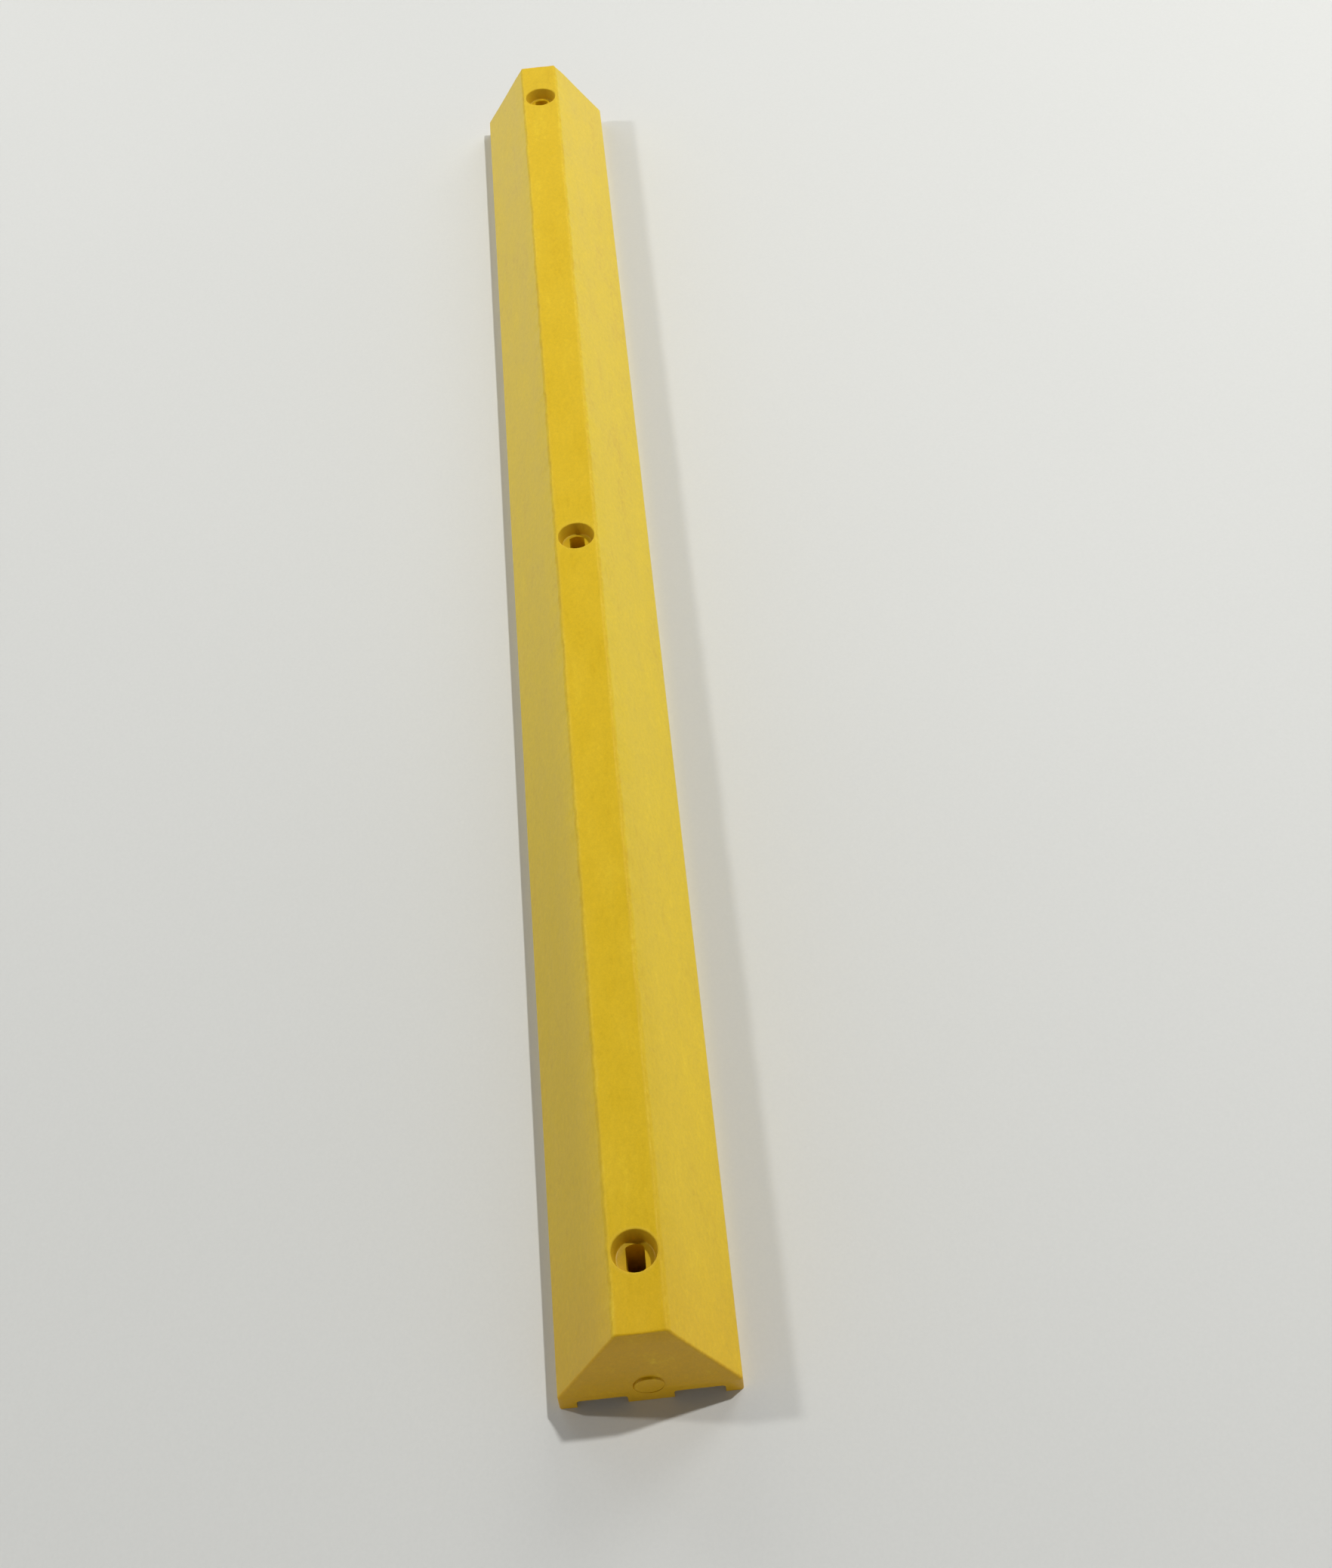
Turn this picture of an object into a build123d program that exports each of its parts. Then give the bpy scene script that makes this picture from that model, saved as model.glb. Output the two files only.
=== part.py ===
from build123d import *

import os

# Parking wheel stop: a solid recycled-plastic block with three anchor holes and a plug in each end.
#
# Millimetres. X runs along the stop, Y runs across it and Z points up. The origin is the middle of
# the footprint, on the ground. The front end is at +X and the rear end at -X.

# Block
length = 1828.8  # over both ends, at the foot
base_width = 152.4  # across the foot
height = 101.6  # ground to crest
lip_height = 19.05  # upright band round the foot
crest_width = 44.45  # flat top, between the two slopes
end_lean = 9.525  # how far the crest stops short of the foot at each end
edge_round = 2.5  # every outside edge above the ground

# Anchor holes, in a row along the crest
hole_count = 3
hole_end_distance = 82.55  # centre of an outer hole to its end of the stop
head_mouth_diameter = 38.1  # pocket for the anchor's head and washer
head_seat_diameter = 33.3  # the pocket narrows to this at its floor
head_pocket_depth = 14.3
mouth_round = 0.8
slot_width = 15.9  # across the stop
slot_length = 25.4  # end to end, along the stop

# Channels under the block, full length, for run-off and cables
centre_land_width = 38.1  # solid foot between the channels
channel_width = 42.0
channel_height = 11.5
channel_round = 3.0  # the two upper corners of each channel

# End plugs, pressed into a blind pocket in each end
plug_diameter = 25.4
plug_length = 22.0
plug_centre_height = 25.4
plug_edge_round = 1.0
plug_clearance = 0.15  # all round, between plug and pocket wall

# Places worked out from the sizes above
half_length = length / 2
hole_spacing = (length - 2 * hole_end_distance) / (hole_count - 1)
channel_offset = (centre_land_width + channel_width) / 2
ends = {"front": 1, "rear": -1}


def end_plane(side):
    """Plane on the foot of one end, centred on its plug and facing out of the stop."""
    return Plane(origin=(side * half_length, 0, plug_centre_height), x_dir=(0, 1, 0), z_dir=(side, 0, 0))


with BuildPart() as block:
    # Cross-section: upright lips, two slopes and a flat crest
    with BuildSketch(Plane.YZ) as section:
        with BuildLine():
            Polyline(
                (-base_width / 2, 0),
                (base_width / 2, 0),
                (base_width / 2, lip_height),
                (crest_width / 2, height),
                (-crest_width / 2, height),
                (-base_width / 2, lip_height),
                close=True,
            )
        make_face()
    extrude(amount=half_length, both=True)

    # Side view: both ends stand upright at the lip, then lean back to the crest
    with BuildSketch(Plane.XZ) as side_view:
        with BuildLine():
            Polyline(
                (-half_length, 0),
                (half_length, 0),
                (half_length, lip_height),
                (half_length - end_lean, height),
                (end_lean - half_length, height),
                (-half_length, lip_height),
                close=True,
            )
        make_face()
    extrude(amount=base_width, both=True, mode=Mode.INTERSECT)

    # Rounded outside edges; the foot stays sharp where it meets the ground
    above_ground = block.edges().filter_by_position(Axis.Z, 0, height, inclusive=(False, True))
    fillet(above_ground, radius=edge_round)

    # Channels, open at the ground and at both ends
    with BuildSketch(Plane.YZ) as channels:
        with Locations((-channel_offset, 0), (channel_offset, 0)):
            Rectangle(channel_width, 2 * channel_height)
        fillet(channels.vertices().group_by(Axis.Y)[-1], radius=channel_round)
    extrude(amount=half_length, both=True, mode=Mode.SUBTRACT)

    # Head pockets in the crest, each narrowing to the seat at its floor
    with Locations((0, 0, height)):
        with GridLocations(hole_spacing, 0, hole_count, 1):
            Cone(
                bottom_radius=head_seat_diameter / 2,
                top_radius=head_mouth_diameter / 2,
                height=head_pocket_depth,
                align=(Align.CENTER, Align.CENTER, Align.MAX),
                mode=Mode.SUBTRACT,
            )
    fillet(block.edges().filter_by(GeomType.CIRCLE).group_by(Axis.Z)[-1], radius=mouth_round)

    # Slots from the pocket floors down through the foot
    with BuildSketch(Plane.XY):
        with GridLocations(hole_spacing, 0, hole_count, 1):
            SlotOverall(slot_length, slot_width)
    extrude(amount=height, mode=Mode.SUBTRACT)

    # Blind pockets for the end plugs
    with Locations(*[end_plane(side) for side in ends.values()]):
        Hole(radius=plug_diameter / 2 + plug_clearance, depth=plug_length)

plugs = {}
for end, side in ends.items():
    # The plug's face is flush with the foot, so it stands proud of the end where that leans back
    with BuildPart() as plug:
        with BuildSketch(end_plane(side)):
            Circle(plug_diameter / 2)
        extrude(amount=-plug_length)
        outward = Axis((0, 0, 0), (side, 0, 0))
        fillet(plug.faces().sort_by(outward)[-1].edges(), radius=plug_edge_round)
    plugs[end] = plug

os.makedirs("parts", exist_ok=True)
block.part.label = "block"
export_step(block.part, "parts/block.step")
for end, plug in plugs.items():
    plug.part.label = f"{end}_end_plug"
    export_step(plug.part, f"parts/{end}_end_plug.step")
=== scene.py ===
# %% [markdown]
# # Parking wheel stop
#
# A wheel stop is a low bar that is bolted to the ground at the end of a parking bay, where it stops
# a car's front wheels. This one is a single casting of recycled plastic, coloured yellow right
# through, with three anchor holes along its crest and a small round plug in each end. Its solids
# come from the CAD frame. This file grows the finished casting and its plugs to the same sizes, gives
# them their surface, and sets up the floor, the light and the camera.

# %% Start from the CAD frame
import math

import bpy
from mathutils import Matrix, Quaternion, Vector


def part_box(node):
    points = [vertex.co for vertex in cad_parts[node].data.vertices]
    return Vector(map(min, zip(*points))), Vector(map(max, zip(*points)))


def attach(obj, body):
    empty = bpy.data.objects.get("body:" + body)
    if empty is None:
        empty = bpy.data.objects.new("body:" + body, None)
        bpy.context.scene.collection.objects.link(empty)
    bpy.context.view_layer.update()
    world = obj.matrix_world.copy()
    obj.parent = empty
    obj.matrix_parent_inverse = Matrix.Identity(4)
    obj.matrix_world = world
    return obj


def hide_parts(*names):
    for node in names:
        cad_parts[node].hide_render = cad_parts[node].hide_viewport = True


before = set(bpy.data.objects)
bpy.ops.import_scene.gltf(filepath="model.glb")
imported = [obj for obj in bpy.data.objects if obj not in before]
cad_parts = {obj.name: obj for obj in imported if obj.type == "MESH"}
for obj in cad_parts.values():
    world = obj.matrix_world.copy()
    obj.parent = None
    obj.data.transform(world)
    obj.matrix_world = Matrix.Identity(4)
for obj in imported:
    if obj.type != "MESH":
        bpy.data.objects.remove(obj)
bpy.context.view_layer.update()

low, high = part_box("block")
half_length, half_width, height = high
print("The block measures", [round(1000 * side, 1) for side in high - low], "mm")

# %% [markdown]
# ## Wires that Python can calculate with
#
# A finish is a tree of small nodes, and most of them do arithmetic. Written one by one they hide the
# idea, so a socket is wrapped in a class that understands `+`, `-`, `*`, `/` and a few named
# operations. An expression on such wires adds its own Math nodes.

# %% A wire
class Wire:
    """An output socket of a node tree, which can be used in a Python expression."""

    def __init__(self, tree, socket):
        self.tree = tree
        self.socket = socket

    def other(self, name):
        """Another output of the same node."""
        return Wire(self.tree, self.socket.node.outputs[name])

    def maths(self, operation, *values):
        """A Math node with this wire first and the values after it."""
        sockets = dict(enumerate([self, *values]))
        return self.tree.add("ShaderNodeMath", {"operation": operation}, sockets)

    def __add__(self, value):
        return self.maths("ADD", value)

    def __sub__(self, value):
        return self.maths("SUBTRACT", value)

    def __mul__(self, value):
        return self.maths("MULTIPLY", value)

    def __truediv__(self, value):
        return self.maths("DIVIDE", value)

    def __rsub__(self, value):
        return (self * -1) + value

    __radd__ = __add__
    __rmul__ = __mul__

    def size(self):
        """The number without its sign."""
        return self.maths("ABSOLUTE")

    def vector(self, operation, *values):
        """Vector maths, such as ADD, SUBTRACT or NORMALIZE."""
        sockets = dict(enumerate([self, *values]))
        return self.tree.add("ShaderNodeVectorMath", {"operation": operation}, sockets)

    def scaled(self, factor):
        """A vector times a number."""
        sockets = {0: self, "Scale": factor}
        return self.tree.add("ShaderNodeVectorMath", {"operation": "SCALE"}, sockets)

    def follow(self, stops):
        """Straight runs through pairs of input and output, level before the first and after the last."""
        total = stops[0][1]
        for (start, low), (end, high) in zip(stops, stops[1:]):
            step = {0: self, 1: start, 2: end, 3: 0.0, 4: high - low}
            total = self.tree.add("ShaderNodeMapRange", {"clamp": True}, step) + total
        return total

    def ramp(self, start, end):
        """Rises smoothly from 0 at start to 1 at end, and falls where end is the smaller one."""
        if end < start:
            return 1 - self.ramp(end, start)
        return self.tree.add(
            "ShaderNodeMapRange",
            {"interpolation_type": "SMOOTHSTEP"},
            {"Value": self, "From Min": start, "From Max": end},
        )

    def split(self):
        """The x, y and z of a vector."""
        parts = self.tree.add("ShaderNodeSeparateXYZ", {}, {0: self})
        return parts, parts.other("Y"), parts.other("Z")


# %% [markdown]
# All other nodes come from one method, `add`, which takes the node's type, its settings and what
# goes into its sockets. The same class serves materials, the world and geometry.

# %% A tree
class Tree:
    """A node tree that is filled from Python."""

    def __init__(self, owner):
        self.nodes = owner.nodes
        self.links = owner.links

    def add(self, kind, settings, sockets):
        """Adds a node: settings first, then each socket's value or wire. Returns its first output."""
        node = self.nodes.new(kind)
        for name, value in settings.items():
            setattr(node, name, value)
        for key, value in sockets.items():
            if isinstance(value, Wire):
                self.links.new(value.socket, node.inputs[key])
            else:
                node.inputs[key].default_value = value
        return Wire(self, node.outputs[0]) if node.outputs else None

    def mix(self, share, first, second):
        """A colour between first and second. Share is a wire or a number from 0 to 1."""
        mixed = self.add("ShaderNodeMix", {"data_type": "RGBA"}, {0: share, 6: first, 7: second})
        return Wire(self, mixed.socket.node.outputs[2])

    def shade(self, colour, amount):
        """A colour made lighter or darker by a number round 1."""
        settings = {"data_type": "RGBA", "blend_type": "MULTIPLY"}
        grey = self.xyz(amount, amount, amount)
        mixed = self.add("ShaderNodeMix", settings, {0: 1.0, 6: colour, 7: grey})
        return Wire(self, mixed.socket.node.outputs[2])

    def xyz(self, x=0.0, y=0.0, z=0.0):
        """A vector from three numbers or wires."""
        return self.add("ShaderNodeCombineXYZ", {}, {0: x, 1: y, 2: z})


# %% [markdown]
# ## Noise for natural surfaces
#
# Nothing about a casting is perfectly even. Every unevenness here is a noise that is read at the
# point's own place on the object, in metres, so it stays on the plastic when the view changes. A
# grain size in millimetres is easier to choose than a scale, and a grain can be longer one way than
# another, as with streaks that follow the flow of the melt.

# %% A noise with a grain in millimetres
seed_step = (7.3, 3.1, 5.7)


def grain(tree, place, size, seed, detail=2.0, roughness=0.5):
    """A noise round 0, from about -0.5 to 0.5. Size is the grain in mm along x, y and z."""
    scales = [1000 / side for side in size]
    shifted = place.vector("MULTIPLY_ADD", scales, [seed * step for step in seed_step])
    noise = tree.add(
        "ShaderNodeTexNoise",
        {"noise_dimensions": "3D"},
        {"Vector": shifted, "Scale": 1.0, "Detail": detail, "Roughness": roughness},
    )
    return noise - 0.5


def new_material(name):
    """An empty node material and its tree."""
    material = bpy.data.materials.new(name)
    material.use_nodes = True
    material.node_tree.nodes.clear()
    return material, Tree(material.node_tree)


def rgba(red, green, blue):
    """An opaque colour."""
    return (red, green, blue, 1.0)


# %% [markdown]
# ## Sizes
#
# The outside sizes are read from the frame. The others are repeated here from the source of the
# solids, because the finished casting has to meet the same holes, channels and plugs. Blender works
# in metres, and these are easier to read in millimetres.

# %% Sizes of the wheel stop
MM = 0.001
lip_height = 19.05 * MM
crest_half = 44.45 / 2 * MM
end_lean = 9.525 * MM
end_slope = end_lean / (height - lip_height)
edge_round = 2.5 * MM

hole_count = 3
hole_end_distance = 82.55 * MM
hole_spacing = 2 * (half_length - hole_end_distance) / (hole_count - 1)
mouth_radius = 38.1 / 2 * MM
seat_radius = 33.3 / 2 * MM
pocket_depth = 14.3 * MM
slot_width = 15.9 * MM
slot_length = 25.4 * MM

channel_width = 42.0 * MM
channel_height = 11.5 * MM
channel_round = 3.0 * MM
centre_land_width = 38.1 * MM
channel_offset = (centre_land_width + channel_width) / 2

plug_radius = 25.4 / 2 * MM
plug_length = 22.0 * MM
plug_height = 25.4 * MM
print("The anchor holes lie", round(hole_spacing / MM, 2), "mm apart")

# %% [markdown]
# ## Yellow cast plastic
#
# The plastic is yellow all through, but its surface is not one colour. The crest cooled against the
# open side of the mould and is the deepest gold. The slopes are chalkier and more lemon, partly their
# own skin and partly a painted sheen of their glancing view, and the orange of the ends is painted
# shade, the warm bounce light on the shaded end faces. Two more tints are what the melt left in it,
# and the last is that of a rubbed edge, partly wear and partly a painted highlight.
#
# The colours could be painted on a map, but a rule for where each of them lies is sharper, needs no
# unwrapping, and works the same on the block and on the plugs.

# %% The plastic's colours
crest_gold = rgba(0.703, 0.465, 0.0100)
# The slopes: partly their own paler skin, partly a painted sheen of their glancing view.
slope_lemon_and_sheen = rgba(0.718, 0.516, 0.0130)
# Painted shade: this orange stands for the warm bounce light on the shaded end faces.
painted_end_shade = rgba(0.660, 0.372, 0.0030)
melt_orange = rgba(0.655, 0.395, 0.0020)
melt_pale = rgba(0.750, 0.545, 0.0200)
# Partly wear, partly a painted highlight along the crest's arrises.
wear_and_highlight_yellow = rgba(0.780, 0.580, 0.0600)
gloss_level = 0.33
base_roughness = 0.38
relief_depth = 0.15 * MM

# %% [markdown]
# ### Crest, slopes and ends
#
# All three are found from the point's own place on the stop. The border between crest and slope
# wanders a little, because a brush of flash was scraped off there. Towards the front, painted warm
# bounce light turns the slopes to the gold of the crest, and the last stretch to the orange of the
# painted end shade.

# %% A mask for each zone
def zones(x, y, z, wander):
    """Masks for the crest and for the ends, with borders that wander."""
    on_crest = (y.size() + wander).ramp(crest_half + 1.6 * MM, crest_half - 0.8 * MM)
    above_lip = (z - lip_height).maths("MAXIMUM", 0.0)
    from_end = (half_length - x.size()) - above_lip * end_slope
    on_end = (from_end + wander * 0.3).ramp(4 * MM, 1 * MM)
    return on_crest, on_end


def zone_colour(tree, x, on_crest, on_end):
    """Lemon slopes with a painted sheen, a golden crest, and painted warm shade on the ends and the
    front.
    """
    # Painted warm bounce light towards the front end: the slopes turn gold, the last stretch orange.
    painted_warm_gold = x.ramp(0.15, 0.90) * 0.65
    painted_warm_orange = x.ramp(0.76, 0.93) * 0.45
    skin = tree.mix(1 - (1 - on_crest) * (1 - painted_warm_gold), slope_lemon_and_sheen, crest_gold)
    skin = tree.mix(painted_warm_orange, skin, painted_end_shade)
    return tree.mix(on_end, skin, painted_end_shade)


# %% [markdown]
# ### Painted shade in the pockets, and rubbed edges
#
# The walls of the head pockets get painted shade: they are darker and more orange, as a shaded
# recess is. Their place is found by wrapping the way along the stop into steps of one hole spacing, so
# that one rule serves all three holes. The arrises of the crest are rubbed dull and pale, in places,
# and the pale colour also stands in for a painted highlight along them.

# %% Masks for pocket walls, pocket rims and the crest's arrises
def pocket_masks(x, y, z):
    """Masks for the wall and the rim of the head pocket that is next to this point."""
    along = (x + hole_spacing / 2).maths("WRAP", hole_spacing, 0.0) - hole_spacing / 2
    from_axis = (along * along + y * y).maths("SQRT")
    under_crest = z.ramp(height - 0.6 * MM, height - 2 * MM)
    over_floor = z.ramp(height - 1.05 * pocket_depth, height - pocket_depth)
    by_wall = from_axis.ramp(seat_radius - 1 * MM, seat_radius) * from_axis.ramp(24 * MM, 20 * MM)
    on_wall = under_crest * over_floor * by_wall
    ring = (from_axis - mouth_radius - 0.4 * MM).size().ramp(2.2 * MM, 0.9 * MM)
    on_rim = ring * z.ramp(height - 4 * MM, height - 2 * MM)
    return on_wall, on_rim


def arris_mask(y, z):
    """A mask for the two long edges of the crest."""
    beside = (y.size() - crest_half).size().ramp(3.4 * MM, 1.8 * MM)
    return beside * z.ramp(height - 5 * MM, height - 2.5 * MM)


# %% [markdown]
# ### Painted light and shade along the stop
#
# The -y slope is painted darker towards the front, the +y slope is painted lighter there, and the rear
# is painted a little lighter, which spreads the light along the stop. The pocket walls get their
# painted shade here too. Each is a gentle change in brightness.

# %% Painted light and shade as changes in brightness
# Painted shade and painted light along the stop, as shares of brightness.
left_front_shade = 0.13
# Painted shade of the pocket walls.
pocket_wall_shade = 0.16
right_front_light = 0.06
rear_light = 0.05
fresh_shade = 0.99


def painted_light_and_shade(x, y, clouds, on_end, on_wall):
    """A brightness round 1, with painted shade and painted light."""
    off_end = 1 - on_end
    # Painted shade on the -y slope's front, painted light on the +y slope's front and on the rear.
    shaded_left_front = y.ramp(-20 * MM, -48 * MM) * x.ramp(-0.3, 0.8) * off_end * (1.0 + clouds * 0.8)
    lit_right_front = y.ramp(20 * MM, 48 * MM) * x.ramp(0.0, 0.7) * off_end
    lit_rear = x.ramp(0.9, -0.9)
    painted_shades = (1 - shaded_left_front * left_front_shade) * (1 - on_wall * pocket_wall_shade)
    return painted_shades * (fresh_shade + lit_rear * rear_light + lit_right_front * right_front_light)


# %% [markdown]
# ### The whole finish
#
# Over the zones lie long streaks, where the melt ran along the mould, clouds, where batches of ground
# plastic mixed badly, flakes the size of a grain of rice, and a fine speckle. The same noises make
# the surface rougher in one place than in another, and feed a very shallow relief.

# %% The plastic as a material
def cast_plastic(name, seed):
    """The finish of the casting. Another seed is another piece of the same plastic."""
    material, tree = new_material(name)
    place = tree.add("ShaderNodeTexCoord", {}, {}).other("Object")
    x, y, z = place.split()

    streaks = grain(tree, place, (260, 9, 14), seed, detail=3)
    clouds = grain(tree, place, (60, 26, 26), seed + 1, detail=2)
    mottle = grain(tree, place, (12, 6, 6), seed + 2, detail=2, roughness=0.6)
    flakes = grain(tree, place, (4.5, 3.0, 3.0), seed + 3, detail=2)
    speckle = grain(tree, place, (1.6, 1.6, 1.6), seed + 4, detail=2, roughness=0.7)

    wander = mottle * (8 * MM) + flakes * (3 * MM)
    on_crest, on_end = zones(x, y, z, wander)
    on_wall, on_rim = pocket_masks(x, y, z)
    arris = arris_mask(y, z)

    melt = streaks * 0.9 + clouds * 1.1 + mottle * 0.8 + flakes * 0.5
    # Pale arrises: partly rubbed wear, partly a painted highlight.
    wear_and_highlight = arris * (flakes * 2 + clouds * 2 + 0.2).ramp(0.0, 1.0)
    skin = zone_colour(tree, x, on_crest, on_end)
    skin = tree.mix(melt.ramp(-0.05, -0.9) * 0.75, skin, melt_orange)
    skin = tree.mix(melt.ramp(0.05, 0.9) * 0.7, skin, melt_pale)
    # Painted shade: the pocket walls turn more orange, as shaded recesses do.
    skin = tree.mix(on_wall * 0.5, skin, melt_orange)
    skin = tree.mix(wear_and_highlight * 0.35, skin, wear_and_highlight_yellow)

    uneven = 1 + clouds * 0.10 + mottle * 0.09 + flakes * 0.14 + speckle * 0.22
    # The brightness carries the painted light and shade along the stop.
    colour = tree.shade(skin, uneven * painted_light_and_shade(x, y, clouds, on_end, on_wall))
    dull = arris.maths("MAXIMUM", on_rim).maths("MAXIMUM", on_wall)
    roughness = base_roughness + clouds * 0.16 + speckle * 0.12 + dull * 0.35
    relief = mottle * 0.5 + flakes * 0.35 + speckle * 0.25
    bump = {"Strength": 1.0, "Distance": relief_depth, "Height": relief}
    sockets = {
        "Base Color": colour,
        "Roughness": roughness,
        "IOR": 1.5,
        "Specular IOR Level": gloss_level,
        "Normal": tree.add("ShaderNodeBump", {}, bump),
    }
    shader = tree.add("ShaderNodeBsdfPrincipled", {}, sockets)
    tree.add("ShaderNodeOutputMaterial", {}, {"Surface": shader})
    print(name, "has", len(tree.nodes), "nodes")
    return material


block_plastic = cast_plastic("yellow_cast_plastic", seed=1)
plug_plastic = cast_plastic("plug_plastic", seed=6)

# %% [markdown]
# ## Geometry Nodes from Python
#
# The block follows a rule: one cross-section all the way, ends that lean back, and cores in even
# steps. It could be modelled by hand from a box, but a rule keeps to its sizes and can be changed
# later, and that is what Geometry Nodes are good at. A group is started with its named inputs, which
# come back as wires, so that a rule reads like a sum. When the tree is done it hangs on an empty
# mesh as a modifier, its inputs are set, and the result is taken off as a plain mesh.

# %% The start and the end of a geometry tree
crisp_angle = math.radians(32)


def start_group(name, sizes):
    """A new geometry group, its tree, and a wire for each of its named inputs."""
    group = bpy.data.node_groups.new(name, "GeometryNodeTree")
    group.interface.new_socket("Geometry", in_out="OUTPUT", socket_type="NodeSocketGeometry")
    for label, value in sizes.items():
        kind = "NodeSocketInt" if isinstance(value, int) else "NodeSocketFloat"
        group.interface.new_socket(label, in_out="INPUT", socket_type=kind)
    tree = Tree(group)
    entry = group.nodes.new("NodeGroupInput")
    return group, tree, {label: Wire(tree, entry.outputs[label]) for label in sizes}


def finish_group(tree, geometry, material):
    """Smooth faces, crisp arrises, real copies instead of instances, and the material."""
    soft = tree.add(
        "GeometryNodeSetShadeSmooth",
        {"domain": "FACE"},
        {"Geometry": geometry, "Shade Smooth": True},
    )
    angle = tree.add("GeometryNodeInputMeshEdgeAngle", {}, {})
    sharp = angle.maths("GREATER_THAN", crisp_angle)
    crisp = tree.add(
        "GeometryNodeSetShadeSmooth",
        {"domain": "EDGE"},
        {"Geometry": soft, "Selection": sharp, "Shade Smooth": False},
    )
    real = tree.add("GeometryNodeRealizeInstances", {}, {"Geometry": crisp})
    dressed = tree.add("GeometryNodeSetMaterial", {}, {"Geometry": real, "Material": material})
    tree.add("NodeGroupOutput", {}, {0: dressed})


# %% A plain mesh from a group
def grow(name, group, sizes):
    """Runs the group with these sizes and returns the result as a plain mesh object."""
    holder = bpy.data.objects.new(name + "_rule", bpy.data.meshes.new(name + "_rule"))
    bpy.context.scene.collection.objects.link(holder)
    modifier = holder.modifiers.new("rule", "NODES")
    modifier.node_group = group
    for item in group.interface.items_tree:
        if item.in_out == "INPUT":
            modifier[item.identifier] = sizes[item.name]
    ready = holder.evaluated_get(bpy.context.evaluated_depsgraph_get())
    mesh = bpy.data.meshes.new_from_object(ready)
    mesh.name = name
    holder.modifiers.clear()
    bpy.data.objects.remove(holder)
    piece = bpy.data.objects.new(name, mesh)
    bpy.context.scene.collection.objects.link(piece)
    triangles = sum(len(face.vertices) - 2 for face in mesh.polygons)
    print(name, "has", len(mesh.vertices), "points and", triangles, "triangles")
    return piece


# %% [markdown]
# ## Tools that several rules share
#
# A turned solid is a rod whose rings are sent to new radii and levels. Its outline is a list of
# pairs, from below. A cut takes tools away from a solid one after another. Exact booleans leave
# clean edges, where a denser mesh pushed into shape would only come near them.

# %% Turned solids, moves and cuts
def own_place(tree):
    """The place of each point."""
    return tree.add("GeometryNodeInputPosition", {}, {})


def turned(tree, outline, sides):
    """A solid of revolution about Z. The outline is the radius and level of each ring."""
    rings = len(outline) - 1
    sockets = {"Vertices": sides, "Side Segments": rings, "Radius": 1.0, "Depth": 2.0}
    rod = tree.add("GeometryNodeMeshCylinder", {"fill_type": "NGON"}, sockets)
    x, y, z = own_place(tree).split()
    steps = [2 * ring / rings - 1 for ring in range(rings + 1)]
    radius = z.follow([(step, ring[0]) for step, ring in zip(steps, outline)])
    level = z.follow([(step, ring[1]) for step, ring in zip(steps, outline)])
    place = tree.xyz(x * radius, y * radius, level)
    return tree.add("GeometryNodeSetPosition", {}, {"Geometry": rod, "Position": place})


def quarter(radius, steps=4):
    """Points along a rounded corner: across from 0 to the radius, and up from 0 to the radius."""
    angles = [step * math.pi / 2 / steps for step in range(steps + 1)]
    return [(radius * (1 - math.cos(angle)), radius * math.sin(angle)) for angle in angles]


def moved(tree, solid, place, turn=(0, 0, 0)):
    """The solid at another place, turned about it."""
    sockets = {"Geometry": solid, "Translation": place, "Rotation": turn}
    return tree.add("GeometryNodeTransform", {}, sockets)


def cut(tree, solid, tools):
    """The solid with the tools taken away from it."""
    for tool in tools:
        settings = {"operation": "DIFFERENCE", "solver": "EXACT"}
        solid = tree.add("GeometryNodeMeshBoolean", settings, {"Mesh 1": solid, "Mesh 2": tool})
    return solid


# %% [markdown]
# ## The rule for the outside
#
# A grid box has six faces of even squares. Each of its points is sent to a place on the block: its
# height first, then its sideways place as a share of the width at that height, then its place along
# the stop as a share of the length there, which is less at the crest because the ends lean. The
# squares are crowded together next to the edges, where the rounding needs them.

# %% From a grid box to the block
squares_along, squares_across, squares_up = 440, 32, 24
edge_squares_along, edge_squares_across = 6, 8
edge_band = 5 * MM
lip_band = 4 * MM
lowest_row = 6 * MM
below_ground = 10 * MM


def grid_box(tree, points_along, points_across, points_up):
    """A grid box from -1 to 1 along each axis, and the x, y and z of its points."""
    counts = {"Vertices X": points_along, "Vertices Y": points_across, "Vertices Z": points_up}
    box = tree.add("GeometryNodeMeshCube", {}, {"Size": (2, 2, 2), **counts})
    return box, own_place(tree).split()


def crowded(wire, squares, edge_squares, band):
    """Moves points on -1..1 so that the outermost squares share a narrow band at each end."""
    share = 1 - 2 * edge_squares / squares
    return wire.follow([(-1, -1), (-share, band - 1), (share, 1 - band), (1, 1)])


def block_place(tree, along, across, up, size, inset):
    """The place of a point on the block, or on one that is smaller by inset all round."""
    run = size["Foot Half Width"] - size["Crest Half Width"]
    rise = size["Height"] - size["Lip Height"]
    slant = (run * run + rise * rise).maths("SQRT")
    lip = size["Lip Height"] - inset * (slant - rise) / run
    crest = size["Height"] - inset
    foot_width = size["Foot Half Width"] - inset
    crest_width = size["Crest Half Width"] - inset * (slant - run) / rise
    foot_reach = size["Half Length"] - inset
    width = up.follow([(lip, foot_width), (crest, crest_width)])
    reach = up.follow([(lip, foot_reach), (crest, foot_reach - size["End Lean"])])
    return tree.xyz(along * reach, across * width, up)


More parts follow.
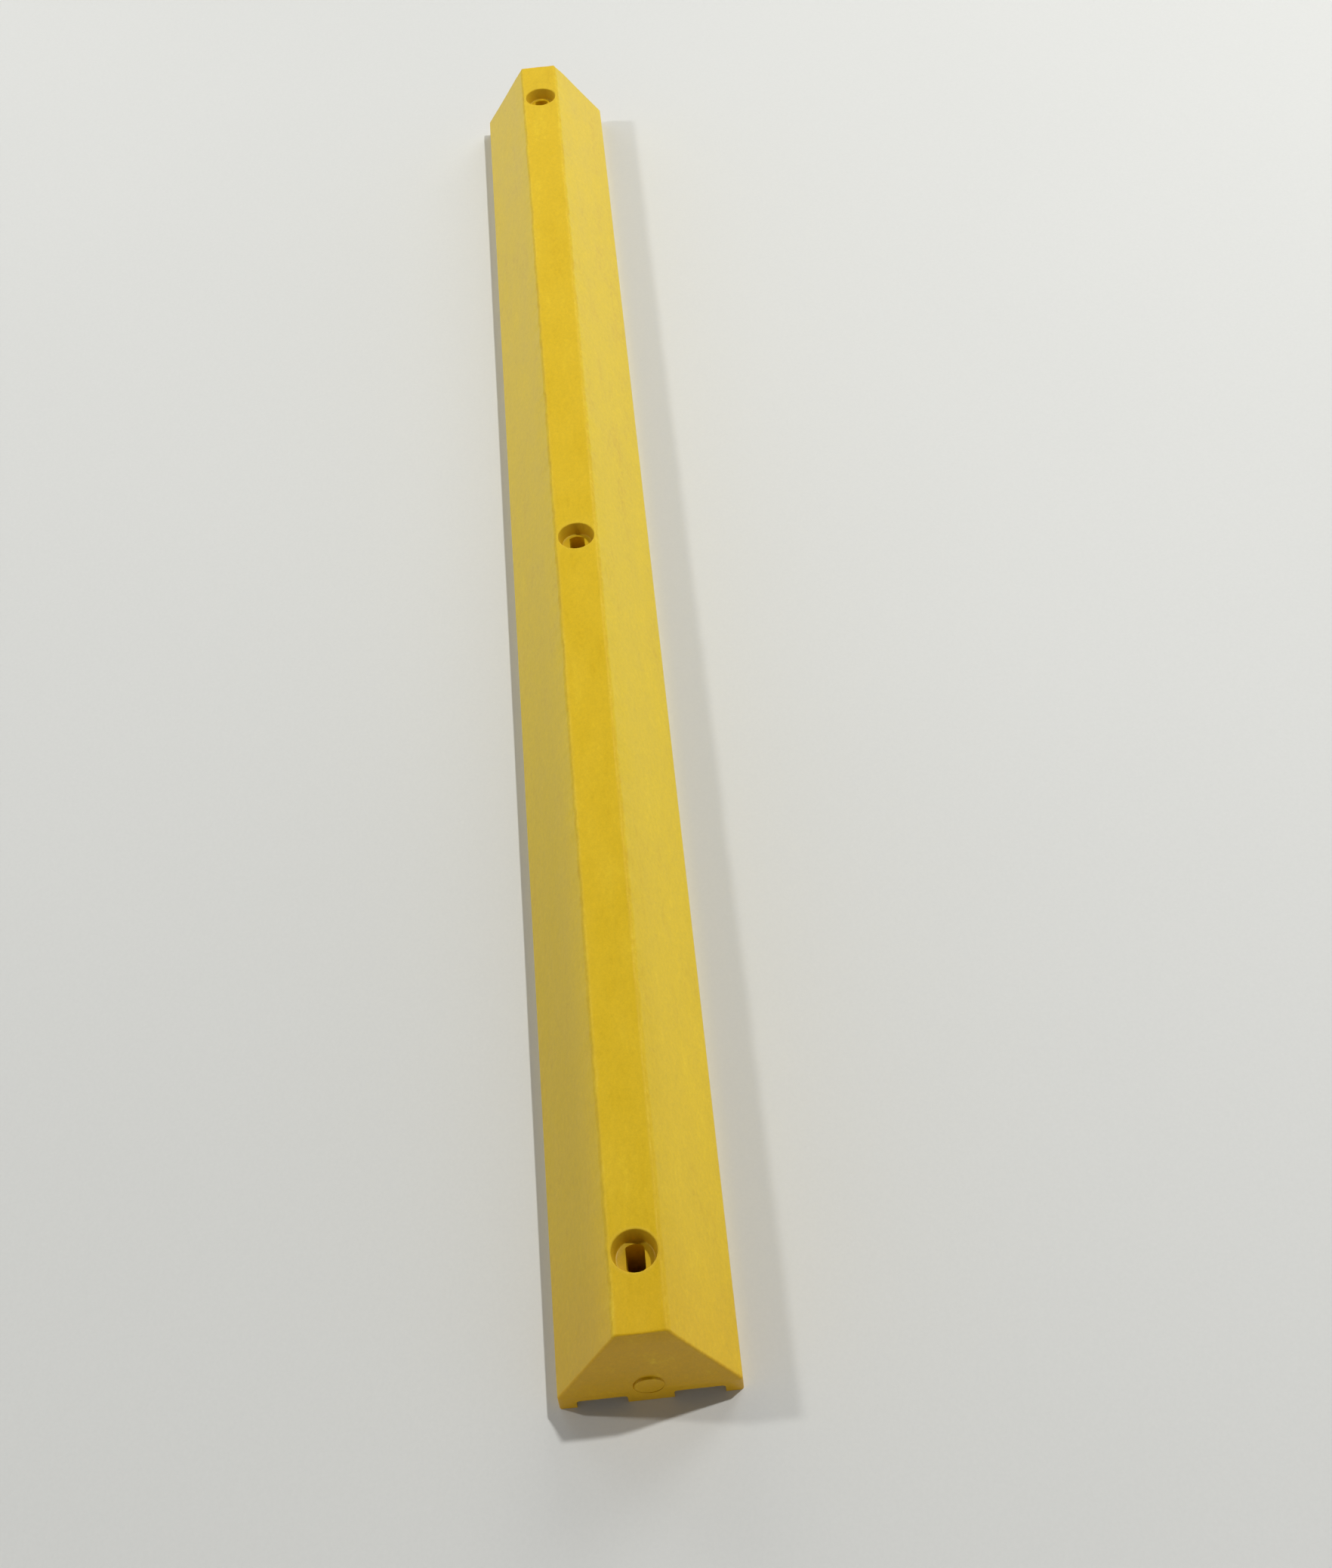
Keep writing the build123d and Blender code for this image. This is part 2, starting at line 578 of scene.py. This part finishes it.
# %% The block's sizes as inputs, and its sharp outside
block_sizes = {
    "Half Length": half_length,
    "Foot Half Width": half_width,
    "Height": height,
    "Lip Height": lip_height,
    "Crest Half Width": crest_half,
    "End Lean": end_lean,
    "Edge Round": edge_round,
    "Face Hollow": 0.45 * MM,
    "Crest Hollow": 0.25 * MM,
    "Trim Depth": 1.8 * MM,
    "Ripple Depth": 0.3 * MM,
    "Hole Count": hole_count,
    "Hole Spacing": hole_spacing,
    "Seed": 4.0,
}
block_group, tree, size = start_group("wheel_stop_block", block_sizes)

box, (along, across, up) = grid_box(tree, squares_along + 1, squares_across + 1, squares_up + 1)
along = crowded(along, squares_along, edge_squares_along, edge_band / half_length)
across = crowded(across, squares_across, edge_squares_across, edge_band / crest_half)
row_levels = [
    (0, -below_ground),
    (1, lowest_row),
    (3, lip_height - lip_band),
    (7, size["Lip Height"]),
    (11, lip_height + lip_band),
    (18, size["Height"] - edge_band),
    (squares_up, size["Height"]),
]
level = up.follow([(2 * row / squares_up - 1, row_level) for row, row_level in row_levels])
sharp_place = block_place(tree, along, across, level, size, 0.0)
sharp = tree.add("GeometryNodeSetPosition", {}, {"Geometry": box, "Position": sharp_place})

# %% [markdown]
# The real casting has softly rounded edges. A Bevel modifier could make them, but it would not
# leave the faces with enough points for what comes next. Instead, the same rule makes a second,
# simple block that is smaller all round by the radius. Every point is then put exactly one radius
# away from the nearest spot on that inner block. On flat faces nothing changes, and at an edge the
# points fall on a true arc.

# %% The rounded outside
core_box, (along, across, up) = grid_box(tree, 2, 2, 3)
core_top = size["Height"] - size["Edge Round"]
core_levels = [(-1, -2 * below_ground), (0, size["Lip Height"]), (1, core_top)]
core_place = block_place(tree, along, across, up.follow(core_levels), size, size["Edge Round"])
core = tree.add("GeometryNodeSetPosition", {}, {"Geometry": core_box, "Position": core_place})

place = own_place(tree)
nearest = tree.add(
    "GeometryNodeProximity",
    {"target_element": "FACES"},
    {"Geometry": core, "Sample Position": place},
)
away = place.vector("SUBTRACT", nearest).vector("NORMALIZE")
round_place = nearest.vector("ADD", away.scaled(size["Edge Round"]))

# %% [markdown]
# ## What cooling and trimming do to a casting
#
# Thick plastic shrinks as it cools, so each broad face ends up a few tenths of a millimetre hollow
# and leaves its edges standing a little proud. The faces are also faintly uneven. The long edges of
# the crest are not ruler-straight either, because flash was scraped off them. Bump in the material
# could fake the ripples, but not an outline that wanders, so the points themselves are moved. All of
# it is taken out of the plastic, never added, so the casting stays within its nominal sizes.

# %% Hollow faces and ripples
x, y, z = round_place.split()
_, _, facing_up = away.split()
on_crest = facing_up.ramp(0.8, 0.97)
slope_share = z.follow([(lip_height, 0), (height, 1)])
crest_share = y.size() / size["Crest Half Width"]
slope_hollow = slope_share * (1 - slope_share) * 4 * (1 - on_crest) * size["Face Hollow"]
crest_bow = (1 - crest_share * crest_share).maths("MAXIMUM", 0.0)
crest_hollow = crest_bow * on_crest * size["Crest Hollow"]

noise_place = round_place.vector("ADD", tree.xyz(size["Seed"], size["Seed"] * 3, size["Seed"] * 7))
ripple = (grain(tree, noise_place, (120, 50, 50), 0, detail=2) + 0.5) * size["Ripple Depth"]
dented = grain(tree, noise_place, (16, 12, 12), 1, detail=1).ramp(0.16, 0.32)
dents = dented * size["Ripple Depth"]
sunk = away.scaled((slope_hollow + crest_hollow + ripple + dents) * -1)

# %% Scraped edges along the crest and at its ends
scrape_down = 12 * MM
chip_down = 8 * MM
chip_along = 20 * MM

scraped = grain(tree, noise_place, (26, 80, 80), 2, detail=3, roughness=0.7).ramp(-0.28, 0.28)
by_edge = z.ramp(height - scrape_down, height - edge_round) * crest_share.ramp(0.4, 1.0)
sideways = y.maths("SIGN") * by_edge * scraped * size["Trim Depth"] * -1

chipped = grain(tree, noise_place, (60, 14, 60), 5, detail=2, roughness=0.6) + 0.5
near_end = x.size().ramp(half_length - chip_along, half_length - end_lean)
by_end = z.ramp(height - chip_down, height - edge_round) * near_end
endways = x.maths("SIGN") * by_end * chipped * size["Trim Depth"] * -1

offset = sunk.vector("ADD", tree.xyz(endways, sideways))
shaped = {"Geometry": sharp, "Position": round_place, "Offset": offset}
cast = tree.add("GeometryNodeSetPosition", {}, shaped)

# %% [markdown]
# ## Cores
#
# The hollows of the casting are cut with tools in the shape of its cores. The first ones are the
# ground, which trims the foot level, and two long channels with rounded upper corners. A channel is
# a section that is drawn along a line.

# %% Tools for the ground and the channels
clear = 3 * MM
corner_steps = 6
past_end = 1.1 * half_length

ground_size = (2.4 * half_length, 3 * half_width, 4 * below_ground)
ground_box = tree.add("GeometryNodeMeshCube", {}, {"Size": ground_size})
ground = moved(tree, ground_box, (0, 0, -2 * below_ground))

section = tree.add(
    "GeometryNodeCurvePrimitiveQuadrilateral",
    {"mode": "RECTANGLE"},
    {"Width": channel_width, "Height": 2 * channel_height},
)
section = tree.add(
    "GeometryNodeFilletCurve",
    {"mode": "POLY"},
    {"Curve": section, "Count": corner_steps, "Radius": channel_round},
)
line = tree.add(
    "GeometryNodeCurvePrimitiveLine",
    {"mode": "POINTS"},
    {"Start": (-past_end, 0, 0), "End": (past_end, 0, 0)},
)
swept = {"Curve": line, "Profile Curve": section, "Fill Caps": True}
channel = tree.add("GeometryNodeCurveToMesh", {}, swept)
channels = [moved(tree, channel, (0, side * channel_offset, 0)) for side in (1, -1)]

# %% [markdown]
# ### Anchor holes
#
# Each anchor hole is a tapered pocket for the anchor's head, with an eased mouth and a rounded
# floor, and a slot below it. The slot is a round hole with two flat sides, which come from stopping
# the points of a rod at half the slot's width. Three separate sets of tools would do, but one set
# that is copied to the points of a line follows the number of holes and their spacing.

# %% Tools for the anchor holes
mouth_round = 0.9 * MM
floor_round = 1.2 * MM
flat_blend = 2 * MM
pocket_sides, slot_sides = 72, 96
pocket_floor = height - pocket_depth
crest_level = height - 0.4 * MM


def in_row(tree, tool, size):
    """Copies of a tool at the anchor holes."""
    start = tree.xyz(size["Hole Spacing"] * (size["Hole Count"] - 1) / -2)
    step = tree.xyz(size["Hole Spacing"])
    sockets = {"Count": size["Hole Count"], "Start Location": start, "Offset": step}
    points = tree.add("GeometryNodeMeshLine", {"mode": "OFFSET"}, sockets)
    copies = tree.add("GeometryNodeInstanceOnPoints", {}, {"Points": points, "Instance": tool})
    return tree.add("GeometryNodeRealizeInstances", {}, {"Geometry": copies})


pocket_outline = [
    (seat_radius - floor_round + up, pocket_floor + across) for across, up in quarter(floor_round)
]
pocket_outline += [
    (mouth_radius + across, crest_level - mouth_round + up) for across, up in quarter(mouth_round)
]
pocket_outline += [(mouth_radius + mouth_round, height + clear)]
pockets = in_row(tree, turned(tree, pocket_outline, pocket_sides), size)

rod_outline = [(slot_length / 2, -clear), (slot_length / 2, height - pocket_depth / 2)]
rod = turned(tree, rod_outline, slot_sides)
rod_x, rod_y, rod_z = own_place(tree).split()
flat_y = rod_y.maths("SIGN") * rod_y.size().maths("SMOOTH_MIN", slot_width / 2, flat_blend)
flattened = {"Geometry": rod, "Position": tree.xyz(rod_x, flat_y, rod_z)}
slots = in_row(tree, tree.add("GeometryNodeSetPosition", {}, flattened), size)

# %% [markdown]
# ### Plug pockets, and the cutting
#
# The mouth of a plug's pocket leans back with the end face. It is eased, and is worn wider on its
# upper left side, where the plug was driven in a little askew. The tool is made upright and then
# laid over, so that its own x points down and its own z points out of the end. When all tools are
# ready, the casting is cut, and points that fell together are merged.

# %% Tools for the plugs, and the cutting
groove = 1.2 * MM
groove_aside = 0.8 * MM
pocket_spare = 0.5 * MM
tight_radius = plug_radius - 0.08 * MM
plug_sides = 64
merge_distance = 0.01 * MM

plug_outline = [(tight_radius, -plug_length - pocket_spare)]
plug_outline += [(tight_radius + across, up - groove) for across, up in quarter(groove)]
plug_outline += [(tight_radius + groove, clear)]
plug_pocket = turned(tree, plug_outline, plug_sides)
down, _, out = own_place(tree).split()
by_mouth = out.follow([(-plug_length, 0.0), (-plug_length / 2, 1.0)])
leaning = (plug_height - lip_height) * end_slope - down * end_slope
aside = out.follow([(-groove, 0.0), (0.0, -groove_aside)])
mouth_offset = tree.xyz(aside, aside, leaning * by_mouth * -1)
leaned = {"Geometry": plug_pocket, "Offset": mouth_offset}
plug_pocket = tree.add("GeometryNodeSetPosition", {}, leaned)
plug_pockets = [
    moved(tree, plug_pocket, (half_length, 0, plug_height), (0, math.pi / 2, 0)),
    moved(tree, plug_pocket, (-half_length, 0, plug_height), (0, math.pi / 2, math.pi)),
]

casting = cut(tree, cast, [ground, *channels, pockets, slots, *plug_pockets])
merged = {"Geometry": casting, "Distance": merge_distance}
casting = tree.add("GeometryNodeMergeByDistance", {}, merged)
finish_group(tree, casting, block_plastic)

block = grow("cast_block", block_group, block_sizes)
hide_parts("block")
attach(block, "root")

# %% [markdown]
# ## End plugs
#
# A plug is a short round bar that is knocked into the hole left by the mould's locating pin. Its rim
# is eased, and its outer face was cut off slightly askew, so one side of it stands prouder than the
# other. One rule makes both plugs, and its input End says which end of the stop it is for.

# %% The plugs
plug_sizes = {
    "Radius": plug_radius - 0.1 * MM,
    "Length": plug_length,
    "Rim Width": 1.2 * MM,
    "Rim Depth": 0.5 * MM,
    "Set Back": 0.35 * MM,
    "Skew": 0.024,
    "Half Length": half_length,
    "Height": plug_height,
    "End": 1.0,
}
plug_group, tree, size = start_group("end_plug", plug_sizes)
rim = [
    (size["Radius"] - size["Rim Width"] * across, size["Rim Depth"] * (up - 1))
    for across, up in quarter(1.0)
]
plug = turned(tree, [(size["Radius"], size["Length"] * -1)] + rim, plug_sides)
_, across, out = own_place(tree).split()
by_face = out.follow([(size["Length"] * -1, 0.0), (size["Length"] * -0.5, 1.0)])
askew = (across * size["Skew"] * -1 - size["Set Back"]) * by_face
skewed = {"Geometry": plug, "Offset": tree.xyz(z=askew)}
plug = tree.add("GeometryNodeSetPosition", {}, skewed)
turn = tree.xyz(0.0, math.pi / 2, (1 - size["End"]) * (math.pi / 2))
plug_place = tree.xyz(size["End"] * size["Half Length"], 0.0, size["Height"])
finish_group(tree, moved(tree, plug, plug_place, turn), plug_plastic)

for name, end in (("front_end_plug", 1.0), ("rear_end_plug", -1.0)):
    plug = grow("cut_" + name, plug_group, {**plug_sizes, "End": end})
    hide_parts(name)
    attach(plug, "root")

# %% [markdown]
# ## Floor
#
# The stop lies on a plain pale floor, a hair below the foot so that the two surfaces don't fight for
# the same height. Two metres and more from the middle, where less light falls, the camera sees the
# floor fade into the colour of the walls. A wall could be built there instead, but it would stand in
# the way of the lamps, and a fade leaves no dark edge behind the object in a low view.

# %% The floor
floor_reach = 9.0
floor_drop = 0.2 * MM
fade_start, fade_end = 1.75, 3.4
wall_brightness = 0.70
floor_dull = rgba(0.692, 0.696, 0.665)
floor_bright = rgba(0.727, 0.730, 0.698)

corners = [(-1, -1), (1, -1), (1, 1), (-1, 1)]
floor_points = [(x * floor_reach, y * floor_reach, -floor_drop) for x, y in corners]
floor_mesh = bpy.data.meshes.new("floor")
floor_mesh.from_pydata(floor_points, [], [(0, 1, 2, 3)])
floor = bpy.data.objects.new("floor", floor_mesh)
bpy.context.scene.collection.objects.link(floor)

floor_material, tree = new_material("pale_floor")
place = tree.add("ShaderNodeTexCoord", {}, {}).other("Object")
tone = grain(tree, place, (900, 700, 700), seed=20)
floor_grain = grain(tree, place, (3, 3, 3), seed=21, detail=2, roughness=0.7)
floor_share = (tone * 0.6 + floor_grain * 0.9 + 0.5).ramp(0, 1)
floor_tint = tree.mix(floor_share, floor_dull, floor_bright)
painted = {"Base Color": floor_tint, "Roughness": 0.6}
floor_shader = tree.add("ShaderNodeBsdfPrincipled", {}, painted)
distant = tree.add("ShaderNodeEmission", {}, {"Strength": wall_brightness})
far_away = place.vector("LENGTH").other("Value").ramp(fade_start, fade_end)
seen = tree.add("ShaderNodeLightPath", {}, {})
faded_floor = tree.add("ShaderNodeMixShader", {}, {0: far_away * seen, 1: floor_shader, 2: distant})
tree.add("ShaderNodeOutputMaterial", {}, {"Surface": faded_floor})
floor_mesh.materials.append(floor_material)
print("The floor reaches", floor_reach, "m and fades from", fade_start, "to", fade_end, "m")

# %% [markdown]
# ## Light
#
# Two small round lamps hang high over the bay, one on each side, and cast shadows with soft edges.
# Two large ones hang beyond the rear end, like the light of the bays further on, so the rear is a
# little brighter than the front. A picture of a real room could light the stop too, but lamps can be
# placed and dimmed one by one. The camera sees none of them.

# %% Lamps
def hang_lamp(name, place, diameter, watts):
    """A round lamp that points at the middle of the stop."""
    data = bpy.data.lights.new(name, "AREA")
    data.shape = "DISK"
    data.size = diameter
    data.energy = watts
    lamp = bpy.data.objects.new(name, data)
    lamp.location = place
    lamp.rotation_mode = "QUATERNION"
    lamp.rotation_quaternion = (-Vector(place)).to_track_quat("-Z", "Y")
    lamp.visible_camera = False
    bpy.context.scene.collection.objects.link(lamp)
    print(name, "hangs", round(Vector(place).length, 2), "m away with", watts, "W")


hang_lamp("main_lamp", (-0.915, 2.5, 4.85), 0.25, 150)
hang_lamp("second_lamp", (-0.664, -3.8, 4.02), 0.35, 75)
hang_lamp("far_bay", (-3.2, 2.4, 2.8), 2.4, 52)
hang_lamp("low_bay", (-2.8, -1.6, 1.8), 2.0, 16)

# %% [markdown]
# ## The room round the stop
#
# The walls of the room are pale and its ceiling is dark. It needs no geometry: the world is bright up
# to about seventeen degrees above the horizon, and has faded to the ceiling's brightness at about
# forty-five. The bright part also serves as the background.

# %% The world
ceiling_brightness = 0.01
wall_top, ceiling_start = 0.3, 0.7

world = bpy.data.worlds.new("room")
bpy.context.scene.world = world
world.use_nodes = True
world.node_tree.nodes.clear()
tree = Tree(world.node_tree)
_, _, rise = tree.add("ShaderNodeTexCoord", {}, {}).split()
wall = rise.ramp(ceiling_start, wall_top)
strength = wall * (wall_brightness - ceiling_brightness) + ceiling_brightness
room_light = {"Color": rgba(1, 1, 1), "Strength": strength}
background = tree.add("ShaderNodeBackground", {}, room_light)
tree.add("ShaderNodeOutputWorld", {}, {"Surface": background})
print("The walls have a brightness of", wall_brightness, "and the ceiling of", ceiling_brightness)

# %% [markdown]
# ## Camera
#
# The camera stands beyond the front end at eye height and looks down along the stop, turned a little
# about its own axis. It could be placed by three coordinates and three angles, but a point to aim
# at, a direction, a distance and a roll are easier to think about.

# %% The camera
azimuth, elevation, roll = math.radians(90.26), math.radians(50.45), math.radians(-6.55)
aim = Vector((0.2688, 0.0657, 0.0))
distance = 2.117
lens_length = 48.015
sensor_size = 36.0

backwards = Vector((
    math.sin(azimuth) * math.cos(elevation),
    -math.cos(azimuth) * math.cos(elevation),
    math.sin(elevation),
))
camera_data = bpy.data.cameras.new("camera")
camera_data.lens = lens_length
camera_data.sensor_width = sensor_size
camera_data.clip_end = 60.0
camera = bpy.data.objects.new("camera", camera_data)
camera.location = aim + backwards * distance
camera.rotation_mode = "QUATERNION"
camera.rotation_quaternion = (-backwards).to_track_quat("-Z", "Y") @ Quaternion((0, 0, 1), roll)
bpy.context.scene.collection.objects.link(camera)
bpy.context.scene.camera = camera
print("The camera stands at", [round(side, 4) for side in camera.location])

# %% [markdown]
# ## Picture settings
#
# The Standard view shows colours as they are, where a filmic one would turn a strong yellow pale.

# %% Picture settings
bpy.context.scene.view_settings.view_transform = "Standard"
